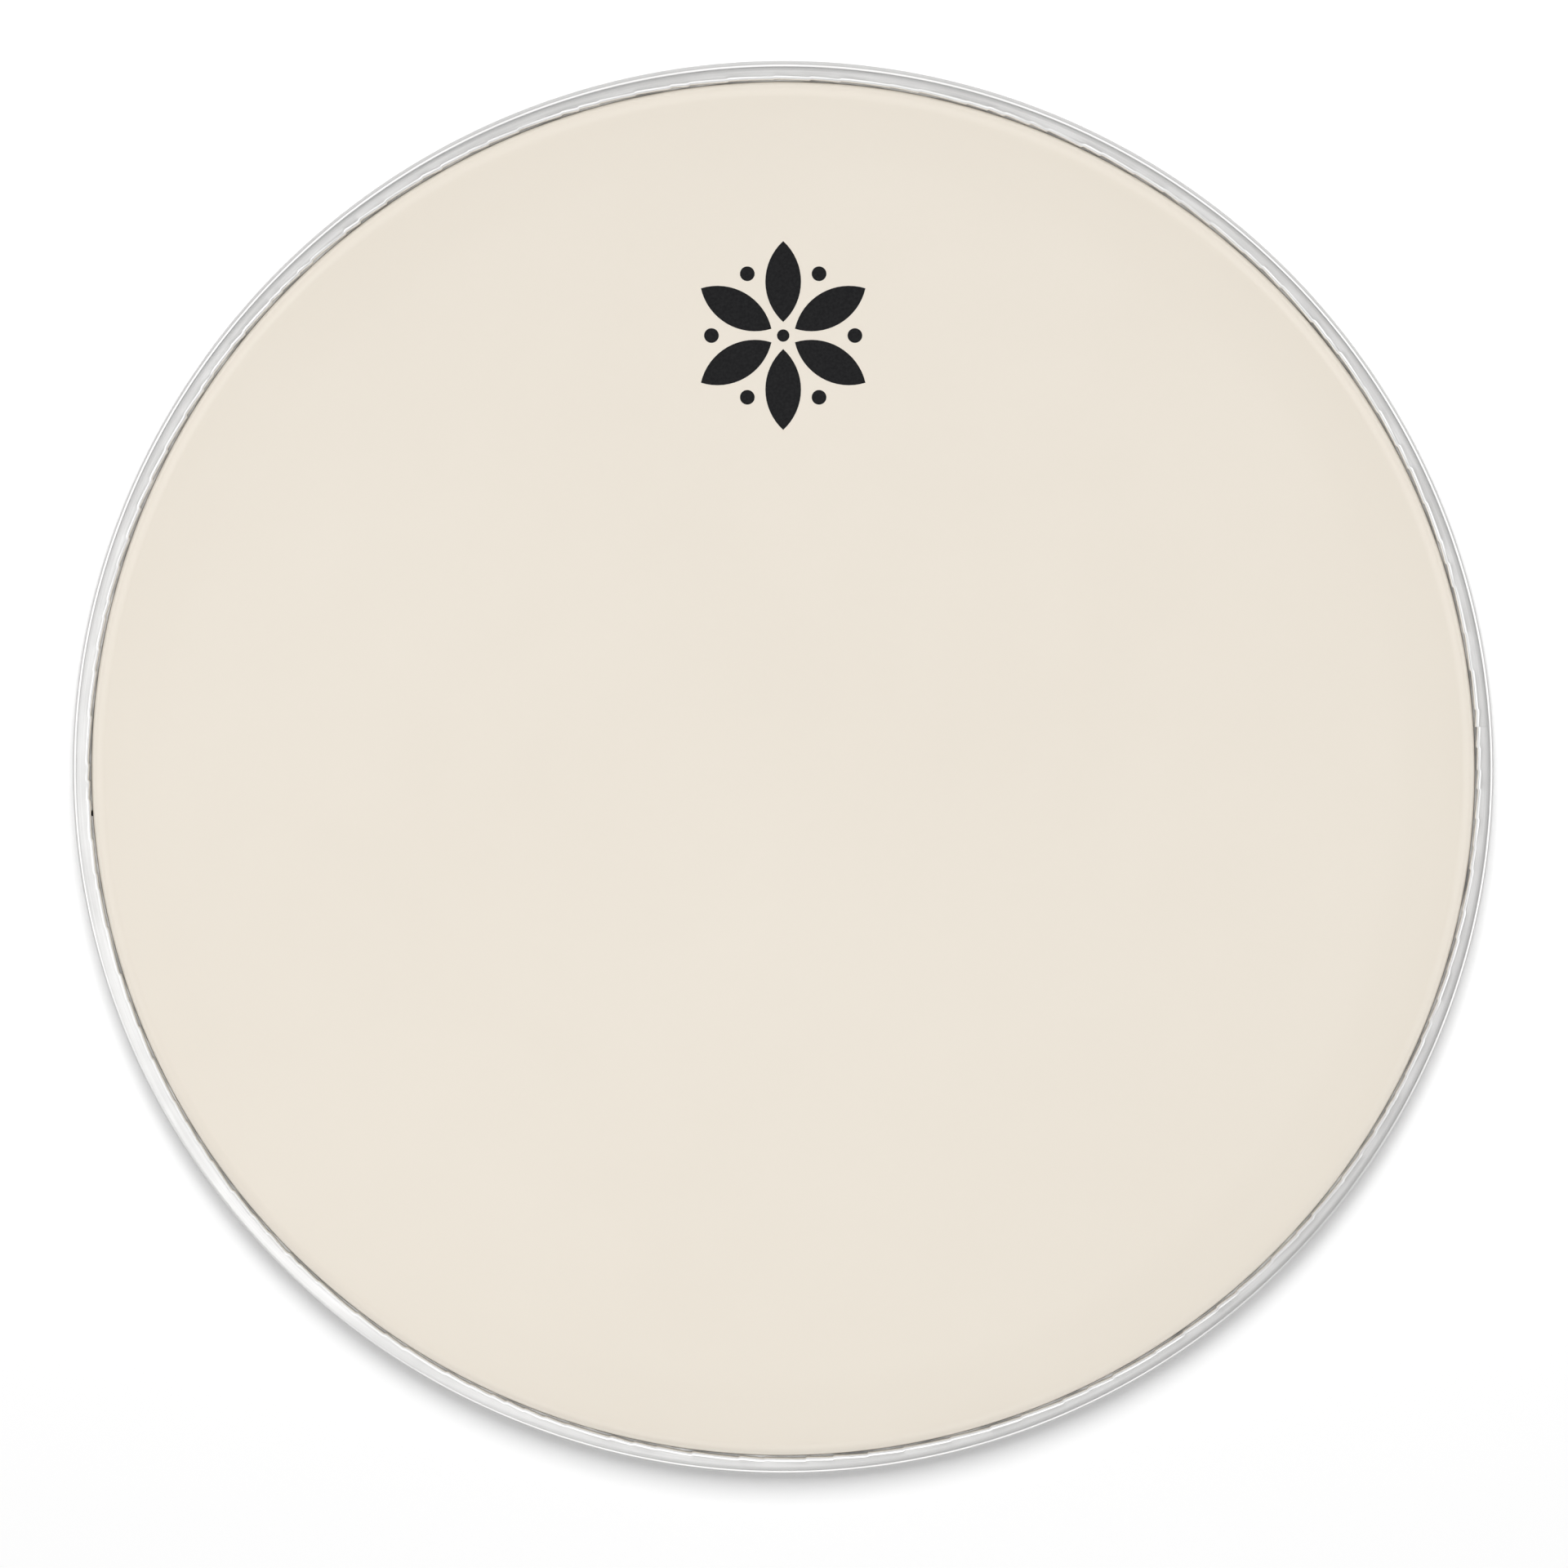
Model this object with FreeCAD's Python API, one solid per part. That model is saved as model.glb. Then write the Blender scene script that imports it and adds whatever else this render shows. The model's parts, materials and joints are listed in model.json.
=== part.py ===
# Fourteen-inch drum head: a formed plastic film whose edge is hooked round a lock ring and
# crimped into a channel of aluminium strip. Z is the drum's axis, z = 0 is the foot of the hoop,
# the playing side faces up, and every length is in millimetres.

import FreeCAD
import Part

import math
import os

# Drum shell that the head goes over
SHELL_DIAMETER = 355.6          # nominal 14 in
SHELL_CLEARANCE = 0.1           # each side, between that shell and the hoop's bore

# Hoop, roll-formed from flat aluminium strip
STRIP_THICKNESS = 0.5
HOOP_HEIGHT = 8.2
INNER_WALL_HEIGHT = 7.2
FOOT_BEND_RADIUS = 0.6          # inside of both bends at the foot
SHOULDER_BEND_RADIUS = 0.45     # inside of the bend from the outer wall to the top
RIDGE_WIDTH = 0.75              # from the flat top to the crest of the ridge that the lip hangs from
RIDGE_RISE = 0.25               # of that ridge's corner above the flat top
RIDGE_FOOT_RADIUS = 0.25        # inside of the bend where the ridge starts
RIDGE_BEND_RADIUS = 0.1         # inside of the bend from the ridge to the lip
LIP_ANGLE = 82.0                # degrees down from level
LIP_DROP = 0.25                 # from the middle of the flat top to the end of the lip
LIP_GAP = 0.35                  # slot left between the lip and the film
JOINT_GAP = 0.25                # where the two ends of the strip butt
JOINT_ANGLE = 3.6               # degrees from +X

# Marks of the jaws that close the lip
JAW_COUNT = 80
JAW_STEP_ANGLE = 0.5            # degrees taken by the step from one jaw mark to the next
JAW_BITE = 0.02                 # into the lip at the shallow end of a mark
JAW_STEP = 0.08                 # how much further the deep end goes

# Lock ring, a flat bar inside the channel
RING_WIDTH = 3.8
RING_FOOT_RADIUS = 0.6          # of its two lower long edges, which the film is hooked round
RING_TOP_RADIUS = 0.15          # of its two upper long edges
RING_GAP = 1.5                  # where the two ends of the bar face each other
RING_GAP_ANGLE = 183.6          # degrees from +X, across from the hoop's joint

# Film
FILM_THICKNESS = 0.25
COLLAR_RISE = 5.0               # playing surface above the top of the hoop
COLLAR_ANGLE = 78.0             # degrees up from level
COLLAR_FOOT_RADIUS = 2.0        # bends of the film, inside the bend
COLLAR_TOP_RADIUS = 3.5
CROWN_WIDTH = 18.0              # band that eases down from the flat to the collar
CROWN_DROP = 1.0
CROWN_BLEND_RADIUS = 120.0

# Fits
FILM_SLIP = 0.05                # between the film and what it is pressed against
WALL_PLAY = 0.1                 # between the hooked film and the outer wall
OVERRUN = 2.0                   # how far a cutting tool reaches past what it cuts

# Radii from the bore outwards
bore_radius = SHELL_DIAMETER / 2 + SHELL_CLEARANCE
inner_wall_outside = bore_radius + STRIP_THICKNESS
film_inner_leg = inner_wall_outside + FILM_SLIP + FILM_THICKNESS / 2
slot_radius = film_inner_leg + FILM_THICKNESS / 2
ring_inside = slot_radius + FILM_SLIP
ring_outside = ring_inside + RING_WIDTH
film_outer_leg = ring_outside + FILM_SLIP + FILM_THICKNESS / 2
outer_wall_inside = film_outer_leg + FILM_THICKNESS / 2 + WALL_PLAY
hoop_radius = outer_wall_inside + STRIP_THICKNESS

# Lip, as the middle line of the strip
half_strip = STRIP_THICKNESS / 2
lip_slope = math.radians(LIP_ANGLE)
top_middle = HOOP_HEIGHT - half_strip
lip_end_radius = slot_radius + LIP_GAP + half_strip
lip_end_height = top_middle - LIP_DROP
ridge_radius = lip_end_radius + (RIDGE_RISE + LIP_DROP) / math.tan(lip_slope)
lip_lowest = lip_end_height - half_strip

# Levels of what lies in the channel
film_under_ring = STRIP_THICKNESS + FILM_SLIP + FILM_THICKNESS / 2
ring_foot = film_under_ring + FILM_THICKNESS / 2 + FILM_SLIP
ring_top = lip_lowest - FILM_SLIP
hook_end = HOOP_HEIGHT - STRIP_THICKNESS - SHOULDER_BEND_RADIUS

# Levels and radii of the film above the hoop, on its middle line
play_level = HOOP_HEIGHT + COLLAR_RISE - FILM_THICKNESS / 2
collar_slope = math.radians(COLLAR_ANGLE)
collar_foot_bend = COLLAR_FOOT_RADIUS + FILM_THICKNESS / 2
collar_foot_level = INNER_WALL_HEIGHT + collar_foot_bend * math.tan((math.pi / 2 - collar_slope) / 2)
collar_top_level = play_level - CROWN_DROP
collar_top_edge = film_inner_leg - (collar_top_level - collar_foot_level) / math.tan(collar_slope)
flat_edge = collar_top_edge - CROWN_WIDTH


def point(radius, height):
    """A point of a section, in the half plane through the axis and +X."""
    return FreeCAD.Vector(radius, 0, height)


def turned(direction):
    """The direction a quarter turn to the left, seen with the radius to the right and Z up."""
    return FreeCAD.Vector(-direction.z, 0, direction.x)


def strip_side(corners, bends, offset):
    """Edges along one side of a bent strip: straight runs, with an arc at each inner corner.

    bends holds the bend radius of each inner corner on the middle line, and offset is the side's
    distance from that line, to the left if positive.
    """
    edges = []
    run_starts = corners[0]
    for before, corner, after, bend in zip(corners, corners[1:], corners[2:], bends):
        come = (corner - before).normalize()
        go = (after - corner).normalize()
        left = turned(come)
        turn = math.copysign(come.getAngle(go), left.dot(go))
        reach = bend * math.tan(abs(turn) / 2)
        arc_starts = corner - come * reach
        arc_ends = corner + go * reach
        centre = arc_starts + left * math.copysign(bend, turn)
        outward = (corner - centre).normalize()
        side_radius = bend - offset * math.copysign(1, turn)
        arc_from = arc_starts + left * offset
        arc_to = arc_ends + turned(go) * offset
        edges.append(Part.LineSegment(run_starts + left * offset, arc_from).toShape())
        edges.append(Part.Arc(arc_from, centre + outward * side_radius, arc_to).toShape())
        run_starts = arc_ends
    last = turned((corners[-1] - corners[-2]).normalize())
    edges.append(Part.LineSegment(run_starts + last * offset, corners[-1] + last * offset).toShape())
    return edges


def end_cap(end, outward, half, rounded):
    """Edge across the end of a strip, from its left side to its right side, straight or half round."""
    left = turned(outward) * half
    if rounded:
        return Part.Arc(end + left, end + outward * half, end - left).toShape()
    return Part.LineSegment(end + left, end - left).toShape()


def bent_strip(corners, bends, thickness, rounded_ends):
    """Section of a strip that follows corners, with the given bend radii on its middle line."""
    half = thickness / 2
    first = (corners[0] - corners[1]).normalize()
    last = (corners[-1] - corners[-2]).normalize()
    edges = strip_side(corners, bends, half)
    edges.append(end_cap(corners[-1], last, half, rounded_ends))
    edges += strip_side(corners, bends, -half)
    edges.append(end_cap(corners[0], first, half, rounded_ends))
    return Part.Face(Part.Wire(Part.__sortEdges__(edges)))


def revolved(section):
    """The section turned once round the drum's axis."""
    return section.revolve(FreeCAD.Vector(0, 0, 0), FreeCAD.Vector(0, 0, 1), 360)


def split_cutter(gap, angle):
    """A slab that cuts a slot of the given width through one side of a ring."""
    inside = bore_radius - OVERRUN
    slab = Part.makeBox(
        hoop_radius + OVERRUN - inside,
        gap,
        HOOP_HEIGHT + OVERRUN * 2,
        FreeCAD.Vector(inside, -gap / 2, -OVERRUN),
    )
    slab.rotate(FreeCAD.Vector(0, 0, 0), FreeCAD.Vector(0, 0, 1), angle)
    return slab


def lip_face_radius(height):
    """Radius at which the upper face of the lip, before it is crimped, passes a height."""
    along = (height - lip_end_height - half_strip * math.cos(lip_slope)) / math.sin(lip_slope)
    return lip_end_radius - half_strip * math.sin(lip_slope) + along * math.cos(lip_slope)


def jaw_outline(height):
    """Outline of the closed jaws at a height: one straight face for each jaw and a step between them.

    A straight face dips inwards between its ends, so that dip is added to the bite.
    """
    pitch = 2 * math.pi / JAW_COUNT
    step = math.radians(JAW_STEP_ANGLE)
    dip = lip_face_radius(height) * (1 - math.cos(pitch / 2))
    shallow = lip_face_radius(height) + dip + JAW_BITE / math.sin(lip_slope)
    deep = shallow + JAW_STEP / math.sin(lip_slope)
    start = math.radians(JOINT_ANGLE) - pitch / 2
    corners = []
    for jaw in range(JAW_COUNT):
        angle = start + jaw * pitch
        for radius, turn in ((shallow, angle), (deep, angle + pitch - step)):
            corners.append(FreeCAD.Vector(radius * math.cos(turn), radius * math.sin(turn), height))
    corners.append(corners[0])
    return Part.makePolygon(corners)


def make_hoop_channel():
    """The strip bent into a channel, closed by the jaws, with its butt joint."""
    wall_middle = bore_radius + half_strip
    outer_middle = hoop_radius - half_strip
    corners = [
        point(wall_middle, INNER_WALL_HEIGHT - half_strip),
        point(wall_middle, half_strip),
        point(outer_middle, half_strip),
        point(outer_middle, top_middle),
        point(ridge_radius + RIDGE_WIDTH, top_middle),
        point(ridge_radius, top_middle + RIDGE_RISE),
        point(lip_end_radius, lip_end_height),
    ]
    inside_bends = [
        FOOT_BEND_RADIUS,
        FOOT_BEND_RADIUS,
        SHOULDER_BEND_RADIUS,
        RIDGE_FOOT_RADIUS,
        RIDGE_BEND_RADIUS,
    ]
    bends = [inside + half_strip for inside in inside_bends]
    channel = revolved(bent_strip(corners, bends, STRIP_THICKNESS, rounded_ends=True))
    jaws = Part.makeLoft([jaw_outline(lip_lowest), jaw_outline(HOOP_HEIGHT + OVERRUN)], True, True)
    return channel.cut(jaws).cut(split_cutter(JOINT_GAP, JOINT_ANGLE))


def make_lock_ring():
    """The flat bar bent into an open ring, with its long edges rounded."""
    mid_share = 1 - math.sqrt(2) / 2
    rim = []
    for corner, along, up, radius in (
        (point(ring_inside, ring_foot), 1, 1, RING_FOOT_RADIUS),
        (point(ring_outside, ring_foot), -1, 1, RING_FOOT_RADIUS),
        (point(ring_outside, ring_top), -1, -1, RING_TOP_RADIUS),
        (point(ring_inside, ring_top), 1, -1, RING_TOP_RADIUS),
    ):
        level_end = corner + point(along * radius, 0)
        upright_end = corner + point(0, up * radius)
        middle = corner + point(along * radius, up * radius) * mid_share
        rim.append((level_end, middle, upright_end))
    edges = [Part.Arc(*arc).toShape() for arc in rim]
    edges.append(Part.LineSegment(rim[0][0], rim[1][0]).toShape())
    edges.append(Part.LineSegment(rim[1][2], rim[2][2]).toShape())
    edges.append(Part.LineSegment(rim[2][0], rim[3][0]).toShape())
    edges.append(Part.LineSegment(rim[3][2], rim[0][2]).toShape())
    bar = revolved(Part.Face(Part.Wire(Part.__sortEdges__(edges))))
    return bar.cut(split_cutter(RING_GAP, RING_GAP_ANGLE))


def make_playing_film():
    """The film: flat middle, eased crown, steep collar, and the hook round the lock ring."""
    corners = [
        point(0, play_level),
        point(flat_edge, play_level),
        point(collar_top_edge, collar_top_level),
        point(film_inner_leg, collar_foot_level),
        point(film_inner_leg, film_under_ring),
        point(film_outer_leg, film_under_ring),
        point(film_outer_leg, hook_end),
    ]
    hook_bend = RING_FOOT_RADIUS + FILM_SLIP + FILM_THICKNESS / 2
    collar_top_bend = COLLAR_TOP_RADIUS + FILM_THICKNESS / 2
    bends = [CROWN_BLEND_RADIUS, collar_top_bend, collar_foot_bend, hook_bend, hook_bend]
    return revolved(bent_strip(corners, bends, FILM_THICKNESS, rounded_ends=False))


def main():
    os.makedirs("parts", exist_ok=True)
    pieces = {
        "hoop_channel": make_hoop_channel(),
        "lock_ring": make_lock_ring(),
        "playing_film": make_playing_film(),
    }
    for name, shape in pieces.items():
        shape.exportStep(os.path.join("parts", name + ".step"))
        print(name, len(shape.Solids), shape.isValid(), round(shape.Volume, 1), len(shape.Faces))


main()
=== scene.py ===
import json
import math
import random

import bmesh
import bpy
from mathutils import Matrix, Vector


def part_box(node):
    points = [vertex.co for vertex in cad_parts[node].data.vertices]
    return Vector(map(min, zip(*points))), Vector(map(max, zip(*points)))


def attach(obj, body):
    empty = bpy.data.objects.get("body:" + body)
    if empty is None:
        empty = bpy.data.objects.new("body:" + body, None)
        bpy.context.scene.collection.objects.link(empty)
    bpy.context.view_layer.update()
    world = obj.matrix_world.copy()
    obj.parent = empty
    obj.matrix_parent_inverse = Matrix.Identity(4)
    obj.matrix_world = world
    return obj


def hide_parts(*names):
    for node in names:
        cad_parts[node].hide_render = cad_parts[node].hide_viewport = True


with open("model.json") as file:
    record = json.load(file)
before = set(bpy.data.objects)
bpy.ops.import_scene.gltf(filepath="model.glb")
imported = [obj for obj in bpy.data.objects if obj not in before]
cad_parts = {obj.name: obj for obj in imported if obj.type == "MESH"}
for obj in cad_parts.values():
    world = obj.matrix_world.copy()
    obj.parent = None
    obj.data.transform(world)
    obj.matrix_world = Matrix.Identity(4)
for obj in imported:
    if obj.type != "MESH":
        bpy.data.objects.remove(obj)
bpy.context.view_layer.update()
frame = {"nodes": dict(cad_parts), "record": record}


# Hoop: flat aluminium strip, roll-formed into a channel and bent into a ring whose two ends butt.
# Once the film and its lock ring lie in it, jaws fold the outer wall over them and press the edge
# down, one short bite after another, which leaves a kink in the lip wherever two bites meet.
mounts = {mount["name"]: mount for mount in frame["record"]["mounts"]}
millimetres_per_metre = 1000
bore_radius = mounts["shell_bore"]["dims"]["r_mm"] / millimetres_per_metre
hoop_radius = mounts["counterhoop_wall"]["dims"]["r_mm"] / millimetres_per_metre
band_top = mounts["counterhoop_seat"]["pos_m"][2]
strip_thickness = 0.0005
inner_wall_top = 0.0072
foot_bend = 0.00085
shoulder_bend = 0.0007
ridge_width = 0.0008
ridge_rise = 0.00043
ridge_foot_bend = 0.0005
ridge_bend = 0.00028
lip_slope = math.radians(82)
lip_drop = 0.00025
slot_radius = 0.1787
slot_width = 0.00035
joint_angle = math.radians(3.6)
joint_gap = 0.00002
hoop_longest_run = 0.0021
hoop_arc_step = math.radians(16)
hoop_cap_steps = 4
weld_distance = 0.000001


def left_of(direction):
    """The direction a quarter turn to the left in a section, with the radius to the right."""
    return Vector((-direction.y, direction.x))


def strip_stations(corners, bends, longest_run, arc_step):
    """Places along the middle of a bent strip, each with the strip's direction there."""
    stations = []

    def add_run(start, end, direction):
        count = max(1, math.ceil((end - start).length / longest_run))
        for index in range(count + 1):
            stations.append((start.lerp(end, index / count), direction))

    run_start = corners[0]
    for before, corner, after, bend in zip(corners, corners[1:], corners[2:], bends):
        come = (corner - before).normalized()
        go = (after - corner).normalized()
        turn = math.atan2(come.x * go.y - come.y * go.x, come.dot(go))
        reach = bend * math.tan(abs(turn) / 2)
        add_run(run_start, corner - come * reach, come)
        signed_bend = math.copysign(bend, turn)
        centre = corner - come * reach + left_of(come) * signed_bend
        steps = max(2, math.ceil(abs(turn) / arc_step))
        for step in range(1, steps):
            heading = Matrix.Rotation(turn * step / steps, 2) @ come
            stations.append((centre - left_of(heading) * signed_bend, heading))
        run_start = corner + go * reach
    add_run(run_start, corners[-1], (corners[-1] - corners[-2]).normalized())
    return stations


def strip_section(stations, thickness, cap_steps):
    """Points once round a strip's section, each with its distance along the strip from the far end."""
    half = thickness / 2
    distances = [0.0]
    for (place, _), (following, _) in zip(stations[::-1], stations[-2::-1]):
        distances.append(distances[-1] + (following - place).length)
    distances.reverse()

    def cap(end, outward, distance):
        turns = [math.pi / 2 - math.pi * step / cap_steps for step in range(1, cap_steps)]
        return [(end + (Matrix.Rotation(turn, 2) @ outward) * half, distance) for turn in turns]

    placed = [(place, heading, distance) for (place, heading), distance in zip(stations, distances)]
    near_side = [(place + left_of(heading) * half, distance) for place, heading, distance in placed]
    far_side = [(place - left_of(heading) * half, distance) for place, heading, distance in placed]
    end_cap = cap(stations[-1][0], stations[-1][1], distances[-1])
    start_cap = cap(stations[0][0], -stations[0][1], distances[0])
    return near_side + end_cap + far_side[::-1] + start_cap


def ring_object(name, loops, closed):
    """A smooth mesh through a row of like loops of points, closed on itself or capped at its ends."""
    around = len(loops[0])
    vertices = [point for loop in loops for point in loop]
    faces = []
    for index in range(len(loops) if closed else len(loops) - 1):
        here = index * around
        there = (index + 1) % len(loops) * around
        for side in range(around):
            following = (side + 1) % around
            faces.append((here + side, there + side, there + following, here + following))
    rounds = len(faces)
    if not closed:
        faces.append(tuple(range(around)))
        faces.append(tuple(range(len(vertices) - 1, len(vertices) - around - 1, -1)))
    mesh = bpy.data.meshes.new(name)
    mesh.from_pydata(vertices, [], faces)
    mesh.polygons.foreach_set("use_smooth", [index < rounds for index in range(len(faces))])
    welded = bmesh.new()
    welded.from_mesh(mesh)
    bmesh.ops.remove_doubles(welded, verts=welded.verts, dist=weld_distance)
    for face in welded.faces:
        for edge in face.edges:
            edge.smooth = edge.smooth and face.smooth
    welded.to_mesh(mesh)
    welded.free()
    made = bpy.data.objects.new(name, mesh)
    bpy.context.scene.collection.objects.link(made)
    return made


half_strip = strip_thickness / 2
lip_end = Vector((slot_radius + slot_width + half_strip, band_top - half_strip - lip_drop))
ridge_top = band_top - half_strip + ridge_rise
ridge_radius = lip_end.x + (ridge_top - lip_end.y) / math.tan(lip_slope)
hoop_corners = [
    Vector((bore_radius + half_strip, inner_wall_top - half_strip)),
    Vector((bore_radius + half_strip, half_strip)),
    Vector((hoop_radius - half_strip, half_strip)),
    Vector((hoop_radius - half_strip, band_top - half_strip)),
    Vector((ridge_radius + ridge_width, band_top - half_strip)),
    Vector((ridge_radius, ridge_top)),
    lip_end,
]
hoop_bends = [foot_bend, foot_bend, shoulder_bend, ridge_foot_bend, ridge_bend]
hoop_stations = strip_stations(hoop_corners, hoop_bends, hoop_longest_run, hoop_arc_step)
hoop_section = strip_section(hoop_stations, strip_thickness, hoop_cap_steps)

# Bites of the jaws, all a little uneven as hand-fed work is: each leaves the lip further out at its end
# than at its start, and where the next bite starts the lip steps back in.
bite_seed = 14
bite_count = 140
bite_width_spread_share = 0.55
bite_lean = 0.00042
least_lean_share = 0.35
joint_lean = 0.00048
bite_setback = 0.00011
setback_spread = 0.00005
bite_press = 0.00014
least_press_share = 0.2
step_angle = math.radians(0.16)
bite_shares = [0, 0.12, 0.3, 0.5, 0.7, 0.88]
middle_share = 0.5
edge_nibble = 0.00006
lip_reach = 0.0032
ridge_reach = 0.0018
edge_reach = 0.0007

uneven = random.Random(bite_seed)
width_shares = [1 + bite_width_spread_share * uneven.uniform(-1, 1) for _ in range(bite_count)]
leans = [bite_lean * uneven.uniform(least_lean_share, 1) for _ in range(bite_count)]
leans[0] = joint_lean
leans[-1] = joint_lean

# Each place round the hoop: its angle, how far out the lip stands, how deep it is pressed, and the nibble
# at its cut edge
hoop_places = []
joint_gap_angle = joint_gap / hoop_radius
full_turn = 2 * math.pi - joint_gap_angle
bite_start = joint_angle + joint_gap_angle / 2
for width_share, lean in zip(width_shares, leans):
    width = full_turn * width_share / sum(width_shares)
    setback = bite_setback + setback_spread * uneven.uniform(-1, 1)
    first_press = bite_press * uneven.uniform(least_press_share, 1)
    last_press = bite_press * uneven.uniform(least_press_share, 1)
    hoop_places.append((bite_start, setback - lean / 2, first_press, 0))
    for share in bite_shares:
        angle = bite_start + step_angle + (width - 2 * step_angle) * share
        out = setback + lean * (share - middle_share)
        press = first_press + (last_press - first_press) * share
        hoop_places.append((angle, out, press, edge_nibble * uneven.uniform(-1, 1)))
    bite_start += width
    hoop_places.append((bite_start - step_angle, setback + lean / 2, last_press, 0))
hoop_places.append((bite_start, setback + lean / 2, last_press, 0))


def fade(distance, reach):
    """1 at no distance, easing to 0 at the reach."""
    share = min(1, max(0, 1 - distance / reach))
    return share * share * (3 - 2 * share)


def hoop_loop(angle, out, press, nibble):
    """The hoop's section at an angle, pushed about as the jaws left it."""
    loop = []
    for place, distance in hoop_section:
        radius = place.x + out * fade(distance, lip_reach) + nibble * fade(distance, edge_reach)
        height = place.y - press * fade(distance, ridge_reach)
        loop.append((radius * math.cos(angle), radius * math.sin(angle), height))
    return loop


hoop = ring_object("hoop", [hoop_loop(*place) for place in hoop_places], closed=False)

# Finish of the strip: rolling leaves fine lines along it, and the jaws rub the crest of the lip bright.
hoop_light_tone = (0.93, 0.925, 0.915, 1)
hoop_dark_tone = (0.8, 0.795, 0.785, 1)
hoop_smooth = 0.28
hoop_rough = 0.4
hoop_line_width = 0.00018
hoop_bloom_scale = 60.0
hoop_bloom_share = 0.35
line_length = 0.03
line_detail = 3.0
line_roughness = 0.6
line_depth = 0.00002
line_depth_share = 0.25
bloom_and_shade_detail = 4.0
burnished_tone = (0.98, 0.98, 0.975, 1)
burnish_rise = 0.00005
burnish_fade = 0.0001
noise_low = 0.3
noise_high = 0.7


def add_node(tree, kind, sockets=None, **settings):
    """A new node with its settings, and each named input given a value or linked to an output."""
    node = tree.nodes.new(kind)
    for name, value in settings.items():
        setattr(node, name, value)
    for name, value in (sockets or {}).items():
        if isinstance(value, bpy.types.NodeSocket):
            tree.links.new(value, node.inputs[name])
        else:
            node.inputs[name].default_value = value
    return node


def new_material(name):
    """An empty node material, its tree and its output node."""
    material = bpy.data.materials.new(name)
    material.use_nodes = True
    material.node_tree.nodes.clear()
    output = material.node_tree.nodes.new("ShaderNodeOutputMaterial")
    return material, material.node_tree, output


def tone_between(tree, noise, dark_tone, light_tone, high=noise_high):
    """A colour that follows a noise from one tone to another."""
    ramp = add_node(tree, "ShaderNodeValToRGB", {"Fac": noise})
    dark_end, light_end = ramp.color_ramp.elements
    dark_end.position = noise_low
    dark_end.color = dark_tone
    light_end.position = high
    light_end.color = light_tone
    return ramp.outputs["Color"]


def value_between(tree, noise, low_value, high_value):
    """A value that follows a noise from one end of a range to the other."""
    noise_range = {"Value": noise, "From Min": noise_low, "From Max": noise_high}
    value_range = {"To Min": low_value, "To Max": high_value}
    return add_node(tree, "ShaderNodeMapRange", noise_range | value_range).outputs["Result"]


def make_rolled_lines():
    """Node group: fine lines that run round the drum's axis, as rolling leaves them on strip.

    Width and Length are the lines' rough sizes in metres, and Lines goes from 0 to 1.
    """
    group = bpy.data.node_groups.new("rolled_lines", "ShaderNodeTree")
    for socket in ("Width", "Length"):
        group.interface.new_socket(socket, in_out="INPUT", socket_type="NodeSocketFloat")
    group.interface.new_socket("Lines", in_out="OUTPUT", socket_type="NodeSocketFloat")
    given = group.nodes.new("NodeGroupInput")
    result = group.nodes.new("NodeGroupOutput")
    place = add_node(group, "ShaderNodeTexCoord").outputs["Object"]
    parts = add_node(group, "ShaderNodeSeparateXYZ", {"Vector": place}).outputs
    flat = add_node(group, "ShaderNodeCombineXYZ", {"X": parts["X"], "Y": parts["Y"]})
    radius = add_node(group, "ShaderNodeVectorMath", {0: flat.outputs[0]}, operation="LENGTH")

    def counted_in(value, size):
        inputs = {0: value, 1: given.outputs[size]}
        return add_node(group, "ShaderNodeMath", inputs, operation="DIVIDE").outputs[0]

    across = add_node(
        group,
        "ShaderNodeCombineXYZ",
        {
            "X": counted_in(radius.outputs["Value"], "Width"),
            "Y": counted_in(parts["Z"], "Width"),
            "Z": counted_in(parts["X"], "Length"),
        },
    )
    lines = add_node(
        group,
        "ShaderNodeTexNoise",
        {
            "Vector": across.outputs[0],
            "W": counted_in(parts["Y"], "Length"),
            "Scale": 1.0,
            "Detail": line_detail,
            "Roughness": line_roughness,
        },
        noise_dimensions="4D",
    )
    group.links.new(lines.outputs["Fac"], result.inputs["Lines"])
    return group


rolled_lines = make_rolled_lines()


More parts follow.
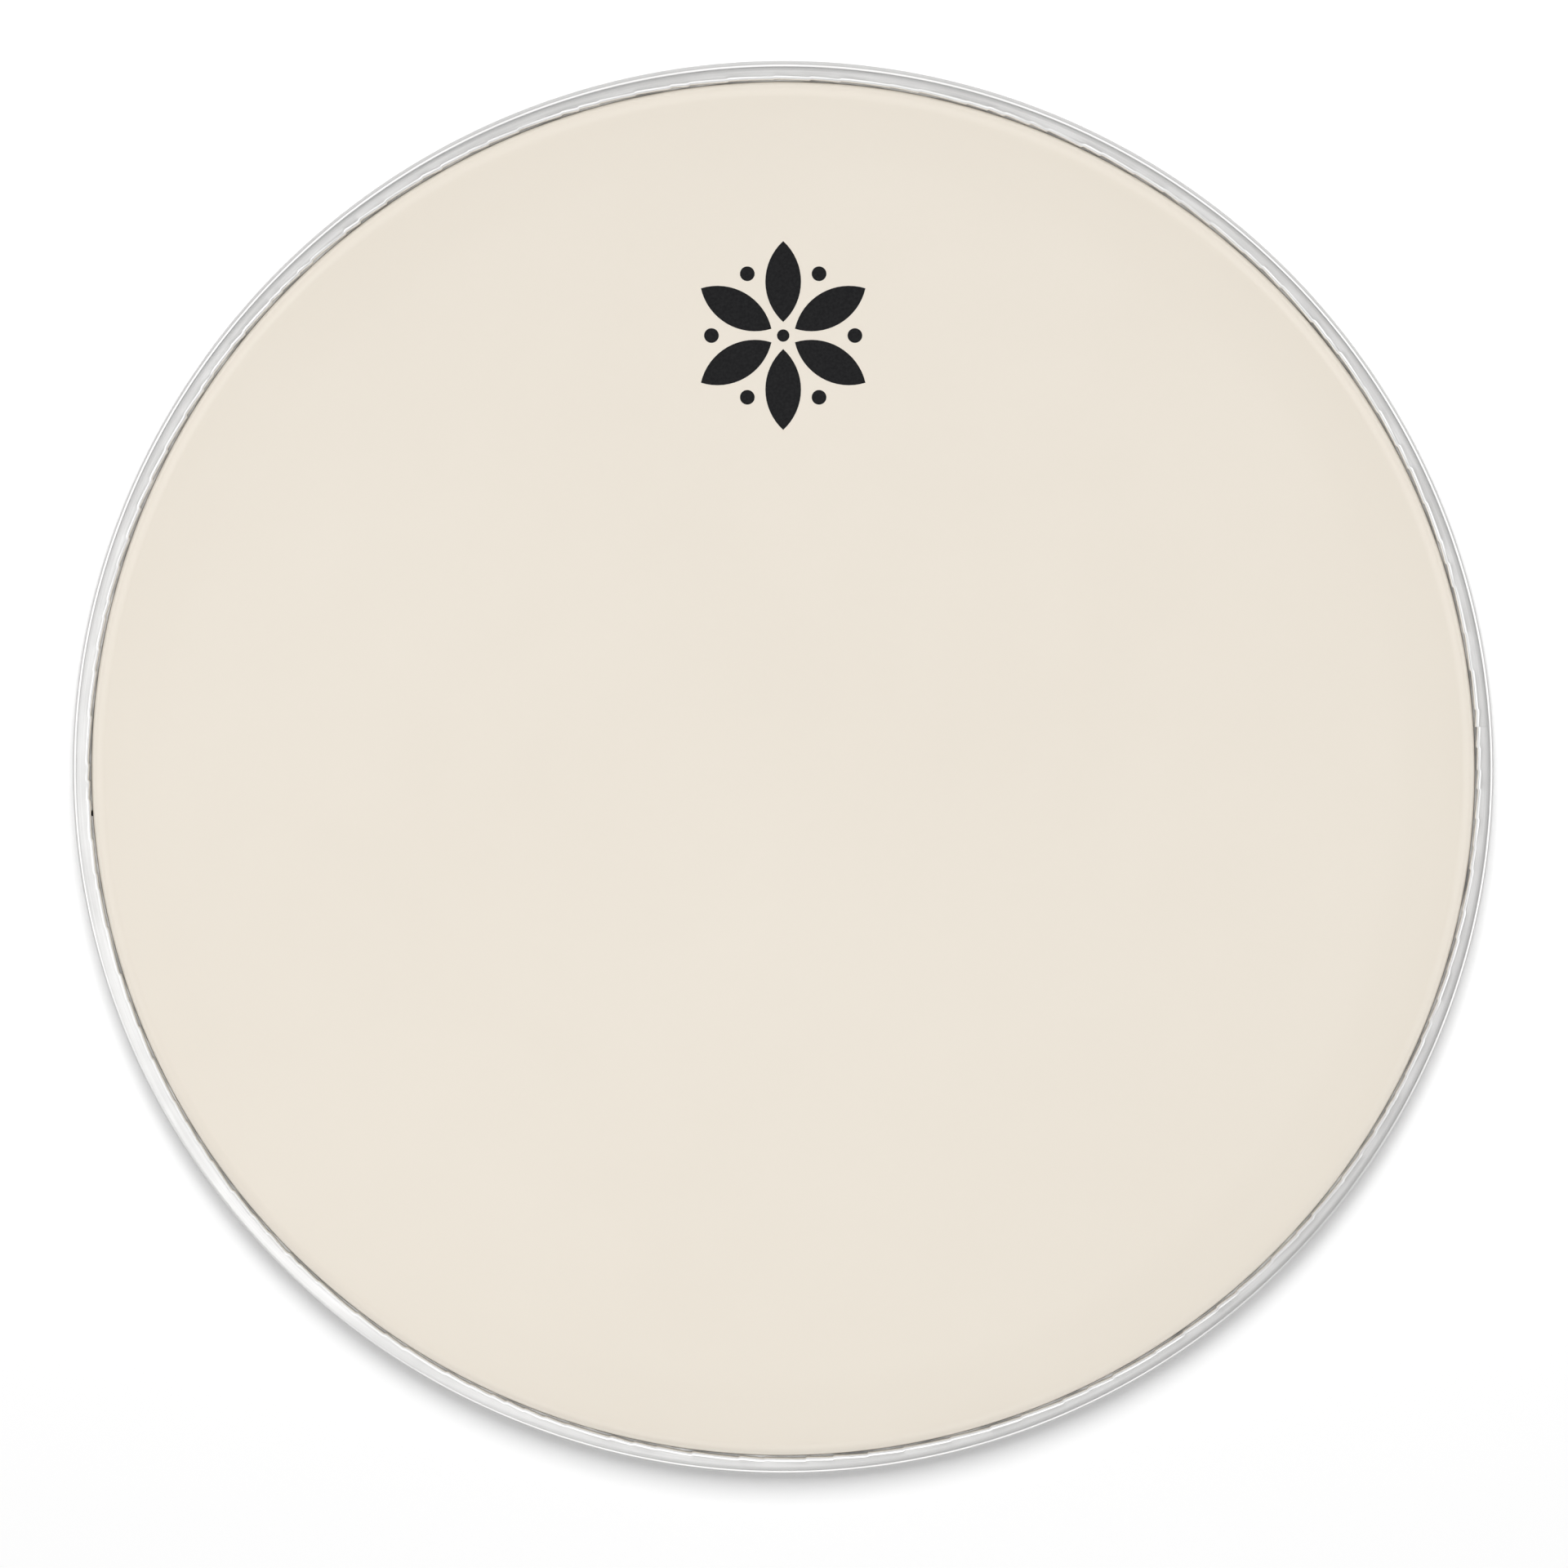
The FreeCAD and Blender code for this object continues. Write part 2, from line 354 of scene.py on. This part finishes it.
def rolled_aluminium(
    name, light_tone, dark_tone, smooth, rough, line_width, bloom_and_shade_scale, bloom_and_shade_share, burnish_from
):
    """Bare aluminium strip: drawn-out lines in its tone, gloss and relief, and cloudy patches in its tone,
    which are a faint bloom on the hoop and painted shade on the lock ring.

    Above the height burnish_from it is rubbed bright.
    """
    material, tree, output = new_material(name)
    line_sizes = {"Width": line_width, "Length": line_length}
    lines = add_node(tree, "ShaderNodeGroup", line_sizes, node_tree=rolled_lines).outputs["Lines"]
    place = add_node(tree, "ShaderNodeTexCoord").outputs["Object"]
    # Cloudy patches: a faint bloom on the hoop, painted shade on the lock ring where its dark tone is dark.
    bloom_and_shade = add_node(
        tree,
        "ShaderNodeTexNoise",
        {"Vector": place, "Scale": bloom_and_shade_scale, "Detail": bloom_and_shade_detail},
    )
    mixed = add_node(
        tree,
        "ShaderNodeMix",
        {"Factor": bloom_and_shade_share, "A": lines, "B": bloom_and_shade.outputs["Fac"]},
    ).outputs["Result"]
    height = add_node(tree, "ShaderNodeSeparateXYZ", {"Vector": place}).outputs["Z"]
    rubbed = add_node(
        tree,
        "ShaderNodeMapRange",
        {"Value": height, "From Min": burnish_from, "From Max": burnish_from + burnish_fade},
    )
    bright = add_node(
        tree,
        "ShaderNodeMix",
        {
            "Factor": rubbed.outputs["Result"],
            "A": tone_between(tree, mixed, dark_tone, light_tone),
            "B": burnished_tone,
        },
        data_type="RGBA",
    )
    relief = add_node(
        tree,
        "ShaderNodeBump",
        {"Strength": line_depth_share, "Distance": line_depth, "Height": lines},
    )
    shader = add_node(
        tree,
        "ShaderNodeBsdfPrincipled",
        {
            "Base Color": bright.outputs["Result"],
            "Metallic": 1.0,
            "Roughness": value_between(tree, mixed, rough, smooth),
            "Normal": relief.outputs["Normal"],
        },
    )
    tree.links.new(shader.outputs["BSDF"], output.inputs["Surface"])
    return material


hoop.data.materials.append(
    rolled_aluminium(
        "rolled_hoop_aluminium",
        hoop_light_tone,
        hoop_dark_tone,
        hoop_smooth,
        hoop_rough,
        hoop_line_width,
        hoop_bloom_scale,
        hoop_bloom_share,
        burnish_from=band_top + burnish_rise,
    )
)
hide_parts("hoop_channel")
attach(hoop, "root")


# Lock ring: a flat aluminium bar bent into an open ring, with mill-finish lines. Its tone goes in patches
# from bright aluminium to dark, and the dark patches are painted shade, standing in for the dashes of
# shadow in the slot under the lip. It lies loose in the channel on the film's hooked edge and is shut in by
# the lip, so only its top shows, through the slot.
ring_light_tone = (0.88, 0.88, 0.87, 1)
ring_painted_shade_tone = (0.3, 0.3, 0.3, 1)
ring_smooth = 0.38
ring_rough = 0.55
ring_line_width = 0.0003
ring_shade_patch_scale = 110.0
ring_shade_patch_share = 0.8
lock_ring = frame["nodes"]["lock_ring"]
lock_ring.data.materials.clear()
lock_ring.data.materials.append(
    rolled_aluminium(
        "mill_finish_aluminium",
        ring_light_tone,
        ring_painted_shade_tone,
        ring_smooth,
        ring_rough,
        ring_line_width,
        ring_shade_patch_scale,
        ring_shade_patch_share,
        burnish_from=band_top,
    )
)


# Film: one sheet of cream plastic film, heated and pressed over a former. The middle stays flat, the
# crown eases down to a steep collar, and the edge is hooked round the lock ring inside the hoop.
film_low, film_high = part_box("playing_film")
film_thickness = 0.00025
ink_room = 0.00004
film_top = film_high.z - ink_room
collar_slope = math.radians(78)
collar_foot_bend = 0.002125
collar_top_bend = 0.003625
crown_width = 0.018
crown_drop = 0.001
crown_blend = 0.12
hook_bend = 0.000775
hook_end = 0.00725
film_longest_run = 0.01
film_arc_step = math.radians(10)
film_cap_steps = 1
film_steps = 540

half_film = film_thickness / 2
film_leg_radius = slot_radius - half_film
hook_radius = film_high.x - half_film
hook_floor = film_low.z + half_film
film_level = film_top - half_film
collar_foot = inner_wall_top + collar_foot_bend * math.tan((math.pi / 2 - collar_slope) / 2)
collar_top = film_level - crown_drop
collar_edge = film_leg_radius - (collar_top - collar_foot) / math.tan(collar_slope)
film_corners = [
    Vector((0, film_level)),
    Vector((collar_edge - crown_width, film_level)),
    Vector((collar_edge, collar_top)),
    Vector((film_leg_radius, collar_foot)),
    Vector((film_leg_radius, hook_floor)),
    Vector((hook_radius, hook_floor)),
    Vector((hook_radius, hook_end)),
]
film_bends = [crown_blend, collar_top_bend, collar_foot_bend, hook_bend, hook_bend]
film_stations = strip_stations(film_corners, film_bends, film_longest_run, film_arc_step)
film_section = strip_section(film_stations, film_thickness, film_cap_steps)

# The collar is drawn tight over the former, and its bend keeps faint pulls from that: slow waves in
# height, given as how many go round, how deep they are and where they start.
collar_pulls = [(7, 0.00005, 0.4), (19, 0.00003, 2.1), (43, 0.000018, 4.4)]
pull_reach = 0.012


def film_loop(angle):
    """The film's section at an angle, with the pulls round its collar."""
    pull = sum(depth * (math.sin(count * angle + start) - 1) / 2 for count, depth, start in collar_pulls)
    loop = []
    for place, _ in film_section:
        above = max(0, min(1, (place.y - band_top) / (collar_top - band_top)))
        near = fade(abs(place.x - collar_edge), pull_reach)
        height = place.y + pull * near * above
        loop.append((place.x * math.cos(angle), place.x * math.sin(angle), height))
    return loop


film_loops = [film_loop(2 * math.pi * step / film_steps) for step in range(film_steps)]
film = ring_object("film", film_loops, closed=True)

film_light_tone = (0.845, 0.781, 0.684, 1)
film_dark_tone = (0.832, 0.766, 0.668, 1)
film_cloud_scale = 9.0
film_cloud_detail = 3.0
film_skin_scale = 40.0
film_skin_detail = 2.0
film_smooth = 0.29
film_rough = 0.36
film_refraction = 1.55


def make_film_material():
    """Cream film with a soft gloss: a faint cloudiness in its tone and an unevenness in its gloss."""
    material, tree, output = new_material("cream_film")
    place = add_node(tree, "ShaderNodeTexCoord").outputs["Object"]
    clouds = add_node(
        tree,
        "ShaderNodeTexNoise",
        {"Vector": place, "Scale": film_cloud_scale, "Detail": film_cloud_detail},
    ).outputs["Fac"]
    skin = add_node(
        tree,
        "ShaderNodeTexNoise",
        {"Vector": place, "Scale": film_skin_scale, "Detail": film_skin_detail},
    ).outputs["Fac"]
    shader = add_node(
        tree,
        "ShaderNodeBsdfPrincipled",
        {
            "Base Color": tone_between(tree, clouds, film_dark_tone, film_light_tone),
            "Roughness": value_between(tree, skin, film_smooth, film_rough),
            "IOR": film_refraction,
        },
    )
    tree.links.new(shader.outputs["BSDF"], output.inputs["Surface"])
    return material


film.data.materials.append(make_film_material())
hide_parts("playing_film")
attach(film, "root")


# Printed rosette: black screen ink laid on the film between its middle and the hoop. It is the plain
# six-petalled flower that is drawn with a compass, with a dot between each two petals.
rosette_centre = Vector((0, 0.1135))
petal_count = 6
petal_start = 0.0035
petal_end = 0.0245
petal_half_width = 0.0046
petal_steps = 16
dot_ring = 0.0185
dot_radius = 0.0019
heart_radius = 0.0016
dot_steps = 32
ink_thickness = 0.00002
ink_sink = 0.00001


def petal_outline(heading):
    """The outline of one petal, two arcs between its ends, pointing away from the rosette's centre."""
    half_length = (petal_end - petal_start) / 2
    arc_radius = (half_length ** 2 + petal_half_width ** 2) / (2 * petal_half_width)
    half_sweep = math.asin(half_length / arc_radius)
    outline = []
    for side in (1, -1):
        for step in range(petal_steps):
            sweep = side * half_sweep * (2 * step / petal_steps - 1)
            along = arc_radius * math.sin(sweep)
            across = -side * (arc_radius * math.cos(sweep) - arc_radius + petal_half_width)
            outline.append(Vector((petal_start + half_length + along, across)))
    return [rosette_centre + Matrix.Rotation(heading, 2) @ point for point in outline]


def dot_outline(centre, radius):
    """The outline of a round dot."""
    turns = [2 * math.pi * step / dot_steps for step in range(dot_steps)]
    return [centre + Vector((math.cos(turn), math.sin(turn))) * radius for turn in turns]


outlines = [dot_outline(rosette_centre, heart_radius)]
for petal in range(petal_count):
    heading = 2 * math.pi * petal / petal_count + math.pi / 2
    between = heading + math.pi / petal_count
    dot_centre = rosette_centre + Vector((math.cos(between), math.sin(between))) * dot_ring
    outlines.append(petal_outline(heading))
    outlines.append(dot_outline(dot_centre, dot_radius))

ink_points = []
ink_faces = []
for outline in outlines:
    first = len(ink_points)
    count = len(outline)
    ink_points += [(point.x, point.y, film_top + ink_thickness) for point in outline]
    ink_points += [(point.x, point.y, film_top - ink_sink) for point in outline]
    ink_faces.append(tuple(range(first, first + count)))
    ink_faces.append(tuple(range(first + 2 * count - 1, first + count - 1, -1)))
    for side in range(count):
        following = (side + 1) % count
        ink_faces.append((first + side, first + count + side, first + count + following, first + following))
ink_mesh = bpy.data.meshes.new("rosette")
ink_mesh.from_pydata(ink_points, [], ink_faces)
rosette = bpy.data.objects.new("rosette", ink_mesh)
bpy.context.scene.collection.objects.link(rosette)

ink_light_tone = (0.016, 0.016, 0.017, 1)
ink_dark_tone = (0.006, 0.006, 0.007, 1)
ink_mottle_scale = 1500.0
ink_mottle_detail = 3.0
ink_mottle_high = 0.75
ink_smooth = 0.36
ink_rough = 0.5
ink_shine = 0.15


def make_ink_material():
    """Black screen ink, a little less glossy than the film, with the mottle of the mesh it came through."""
    material, tree, output = new_material("screen_ink")
    place = add_node(tree, "ShaderNodeTexCoord").outputs["Object"]
    mottle = add_node(
        tree,
        "ShaderNodeTexNoise",
        {"Vector": place, "Scale": ink_mottle_scale, "Detail": ink_mottle_detail},
    ).outputs["Fac"]
    shader = add_node(
        tree,
        "ShaderNodeBsdfPrincipled",
        {
            "Base Color": tone_between(tree, mottle, ink_dark_tone, ink_light_tone, high=ink_mottle_high),
            "Roughness": value_between(tree, mottle, ink_smooth, ink_rough),
            "Specular IOR Level": ink_shine,
        },
    )
    tree.links.new(shader.outputs["BSDF"], output.inputs["Surface"])
    return material


rosette.data.materials.append(make_ink_material())
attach(rosette, "root")


# Floor: a plain white sheet under the hoop, wide enough to be all that any view sees behind it. It looks
# white, while the light that it throws back, and its reflection in the metal, stay at a plain level.
floor_half = 12.0
floor_drop = 0.00002
seen_floor_tone = (1, 1, 1, 1)
mirrored_floor_tone = (0.58, 0.58, 0.58, 1)
bounce_dark_tone = (0.5, 0.5, 0.5, 1)
bounce_light_tone = (0.53, 0.53, 0.53, 1)
floor_grain_scale = 400.0
floor_signs = [(-1, -1), (1, -1), (1, 1), (-1, 1)]
floor_corners = [(x * floor_half, y * floor_half, -floor_drop) for x, y in floor_signs]
floor_mesh = bpy.data.meshes.new("floor")
floor_mesh.from_pydata(floor_corners, [], [range(len(floor_corners))])
floor = bpy.data.objects.new("floor", floor_mesh)
bpy.context.scene.collection.objects.link(floor)

floor_material, floor_tree, floor_output = new_material("white_floor")


def floor_mix(factor, tone, other_tone):
    """A colour of the floor between two tones."""
    sockets = {"Factor": factor, "A": tone, "B": other_tone}
    return add_node(floor_tree, "ShaderNodeMix", sockets, data_type="RGBA").outputs["Result"]


floor_grain = add_node(floor_tree, "ShaderNodeTexNoise", {"Scale": floor_grain_scale})
floor_path = add_node(floor_tree, "ShaderNodeLightPath").outputs
bounce_tone = floor_mix(floor_grain.outputs["Fac"], bounce_dark_tone, bounce_light_tone)
unseen_tone = floor_mix(floor_path["Is Glossy Ray"], bounce_tone, mirrored_floor_tone)
floor_tone = floor_mix(floor_path["Is Camera Ray"], unseen_tone, seen_floor_tone)
matt = add_node(floor_tree, "ShaderNodeBsdfDiffuse", {"Color": floor_tone})
floor_tree.links.new(matt.outputs[0], floor_output.inputs["Surface"])
floor.data.materials.append(floor_material)


# Studio: white surroundings, low soft lamps on all four sides and a small panel overhead that light only
# the head, and two lamps that light only the floor: one on the far side, which throws the short shadow
# on it, and a weaker one straight above.
ceiling_light = 0.15
wall_light = 0.95
wall_fade_power = 3.0
far_lamp_place = (0, 2.1, 1.5)
far_lamp_size = (6, 2.6)
far_lamp_power = 50
near_lamp_place = (0, -2.2, 1.5)
near_lamp_size = (3.2, 1.8)
near_lamp_power = 22.5
side_lamp_reach = 2.2
side_lamp_height = 1.2
side_lamp_size = (3.2, 2.4)
side_lamp_power = 27
panel_height = 1.2
panel_centre = (-0.215, -0.255)
panel_size = (1.02, 0.41)
panel_turn = math.radians(31)
panel_power = 1.9
ground_lamp_place = (0, 1.25, 2.165)
ground_lamp_size = (1.4, 1.7)
ground_lamp_power = 55
ground_fill_place = (0, 0, 4)
ground_fill_size = (0.2, 0.2)
ground_fill_power = 24

world = bpy.data.worlds.new("white_room")
bpy.context.scene.world = world
world.use_nodes = True
room_tree = world.node_tree
room_tree.nodes.clear()
towards = add_node(room_tree, "ShaderNodeTexCoord").outputs["Generated"]
upwards = add_node(room_tree, "ShaderNodeSeparateXYZ", {"Vector": towards}).outputs["Z"]
away_from_ceiling = add_node(
    room_tree,
    "ShaderNodeMath",
    {0: 1.0, 1: upwards},
    operation="SUBTRACT",
    use_clamp=True,
)
near_walls = add_node(
    room_tree,
    "ShaderNodeMath",
    {0: away_from_ceiling.outputs[0], 1: wall_fade_power},
    operation="POWER",
)
room_light = add_node(
    room_tree,
    "ShaderNodeMapRange",
    {"Value": near_walls.outputs[0], "To Min": ceiling_light, "To Max": wall_light},
)
room = add_node(
    room_tree,
    "ShaderNodeBackground",
    {"Color": (1, 1, 1, 1), "Strength": room_light.outputs["Result"]},
)
room_output = room_tree.nodes.new("ShaderNodeOutputWorld")
room_tree.links.new(room.outputs[0], room_output.inputs["Surface"])


def add_lamp(name, place, size, power, lit_pieces, aim=(0, 0, 0)):
    """A rectangular soft lamp at a place, turned to face a point, that lights only some pieces."""
    lamp = bpy.data.lights.new(name, "AREA")
    lamp.shape = "RECTANGLE"
    lamp.size, lamp.size_y = size
    lamp.energy = power
    made = bpy.data.objects.new(name, lamp)
    made.location = place
    made.rotation_euler = (Vector(aim) - Vector(place)).to_track_quat("-Z", "Y").to_euler()
    bpy.context.scene.collection.objects.link(made)
    receivers = bpy.data.collections.new(name + "_receivers")
    for piece in lit_pieces:
        receivers.objects.link(piece)
    made.light_linking.receiver_collection = receivers
    return made


head_pieces = [hoop, lock_ring, film, rosette]
add_lamp("far_lamp", far_lamp_place, far_lamp_size, far_lamp_power, head_pieces)
add_lamp("ground_lamp", ground_lamp_place, ground_lamp_size, ground_lamp_power, [floor])
add_lamp("ground_fill", ground_fill_place, ground_fill_size, ground_fill_power, [floor])
for side in (-1, 1):
    side_lamp_place = (side * side_lamp_reach, 0, side_lamp_height)
    add_lamp("side_lamp", side_lamp_place, side_lamp_size, side_lamp_power, head_pieces)
add_lamp("near_lamp", near_lamp_place, near_lamp_size, near_lamp_power, head_pieces)
panel = add_lamp(
    "overhead_panel",
    (*panel_centre, panel_height),
    panel_size,
    panel_power,
    head_pieces,
    aim=(*panel_centre, 0),
)
panel.rotation_euler.z = panel_turn


# Camera: nearly straight above, leaning a little to the far side so that the hoop's far wall shows,
# with a long lens. The sensor's width is in millimetres, as a lens is.
camera_lean = math.radians(6.8)
camera_distance = 10.0
frame_width = 0.4053
picture_size = 1920
head_centre = (959, 940.8)
sensor_width = 36.0
camera = bpy.data.cameras.new("camera")
camera.sensor_width = sensor_width
camera.lens = sensor_width * camera_distance / frame_width
camera_object = bpy.data.objects.new("camera", camera)
aim_x = (picture_size / 2 - head_centre[0]) / picture_size * frame_width
aim_y = (head_centre[1] - picture_size / 2) / picture_size * frame_width
camera_aim = Vector((aim_x, aim_y, band_top / 2))
away = Vector((0, math.sin(camera_lean), math.cos(camera_lean)))
camera_object.location = camera_aim + away * camera_distance
camera_object.rotation_euler = (-camera_lean, 0, 0)
bpy.context.scene.collection.objects.link(camera_object)
bpy.context.scene.camera = camera_object
bpy.context.scene.view_settings.view_transform = "Standard"
